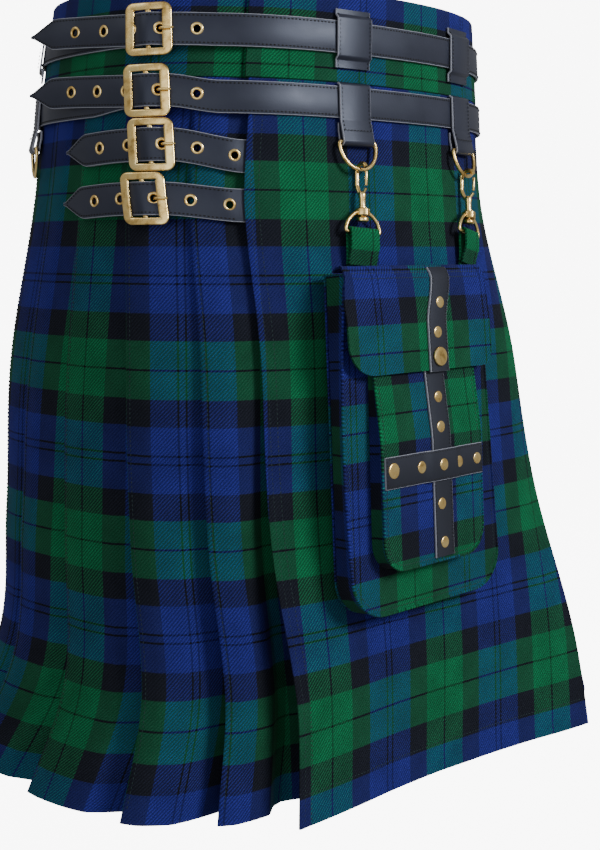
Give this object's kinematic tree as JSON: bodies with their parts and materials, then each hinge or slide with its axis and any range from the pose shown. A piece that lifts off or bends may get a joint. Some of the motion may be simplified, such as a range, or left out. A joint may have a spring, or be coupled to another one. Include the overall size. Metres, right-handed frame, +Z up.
{
  "type": "scottish kilt",
  "caption": "Pleated tartan kilt with two leather belts, buckled hip straps and a flapped pouch on snap hooks; hollow, open at waist and hem.",
  "frame": {"origin": "centre of the waist at the height of the upper belt, where the wearer holds it", "axes": "+Z up along the body, -Y out of the front, +X towards the wearer's left"},
  "size_m": [0.5787, 0.4443, 0.606],
  "materials": {
    "tartan_cloth": "matt twill wool in dark green, blue and black",
    "black_leather": "semi-gloss, stitched edges",
    "antique_brass": "antique polish"
  },
  "bodies": {
    "kilt": {"belt_loop_1": "black_leather", "belt_loop_2": "black_leather", "belt_loop_3": "black_leather", "belt_loop_4": "black_leather", "belt_lower": "black_leather", "belt_upper": "black_leather", "buckle_1": "antique_brass", "buckle_2": "antique_brass", "buckle_3": "antique_brass", "buckle_4": "antique_brass", "d_ring_1": "antique_brass", "d_ring_2": "antique_brass", "flap_snap": "antique_brass", "flap_strip": "black_leather", "front_apron": "tartan_cloth", "hip_strap_lower": "black_leather", "hip_strap_upper": "black_leather", "hip_tab_lower": "black_leather", "hip_tab_upper": "black_leather", "pocket_band": "black_leather", "pocket_front": "tartan_cloth", "pocket_gusset": "tartan_cloth", "pocket_strip": "black_leather", "pouch_back": "tartan_cloth", "pouch_flap": "tartan_cloth", "pouch_front": "tartan_cloth", "pouch_gusset": "tartan_cloth", "pouch_strap_left": "tartan_cloth", "pouch_strap_right": "tartan_cloth", "prong_1": "antique_brass", "prong_2": "antique_brass", "prong_3": "antique_brass", "prong_4": "antique_brass", "ring_loop_1": "black_leather", "ring_loop_2": "black_leather", "ring_loop_3": "black_leather", "ring_loop_4": "black_leather", "skirt_back_left": "tartan_cloth", "skirt_back_right": "tartan_cloth", "skirt_left": "tartan_cloth", "skirt_right": "tartan_cloth", "strap_ring_left": "antique_brass", "strap_ring_right": "antique_brass", "under_apron": "tartan_cloth", "waistband": "tartan_cloth"},
    "hook_right": {"hook_right": "antique_brass"},
    "gate_right": {"gate_right": "antique_brass"},
    "hook_left": {"hook_left": "antique_brass"},
    "gate_left": {"gate_left": "antique_brass"},
    "free_ring_right": {"d_ring_3": "antique_brass"},
    "free_ring_left": {"d_ring_4": "antique_brass"}
  },
  "joints": [
    {"name": "hook_swivel_right", "type": "hinge", "parent": "kilt", "child": "hook_right", "pos_m": [-0.04936, -0.1588, -0.1006], "axis": [0.0858, 0.1291, 0.9879], "range_deg": [-15, 15]},
    {"name": "gate_right", "type": "hinge", "parent": "hook_right", "child": "gate_right", "pos_m": [-0.05076, -0.16535, -0.11223], "axis": [-0.9942, 0.0763, 0.0764], "range_deg": [0, 20], "stiffness_Nm_per_rad": 0.002, "springref_deg": -8.59},
    {"name": "hook_swivel_left", "type": "hinge", "parent": "kilt", "child": "hook_left", "pos_m": [0.08055, -0.15034, -0.1006], "axis": [0.1457, 0.1797, 0.9729], "range_deg": [-15, 15]},
    {"name": "gate_left", "type": "hinge", "parent": "hook_left", "child": "gate_left", "pos_m": [0.08, -0.15739, -0.11221], "axis": [-0.9549, -0.2316, 0.1858], "range_deg": [0, 20], "stiffness_Nm_per_rad": 0.002, "springref_deg": -8.59},
    {"name": "free_ring_right", "type": "hinge", "parent": "kilt", "child": "free_ring_right", "pos_m": [-0.19554, 0.07628, -0.0785], "axis": [0.4105, 0.9119, 0], "range_deg": [0, 80]},
    {"name": "free_ring_left", "type": "hinge", "parent": "kilt", "child": "free_ring_left", "pos_m": [0.17575, 0.07628, -0.0785], "axis": [0.4105, -0.9119, 0], "range_deg": [0, 80]}
  ]
}
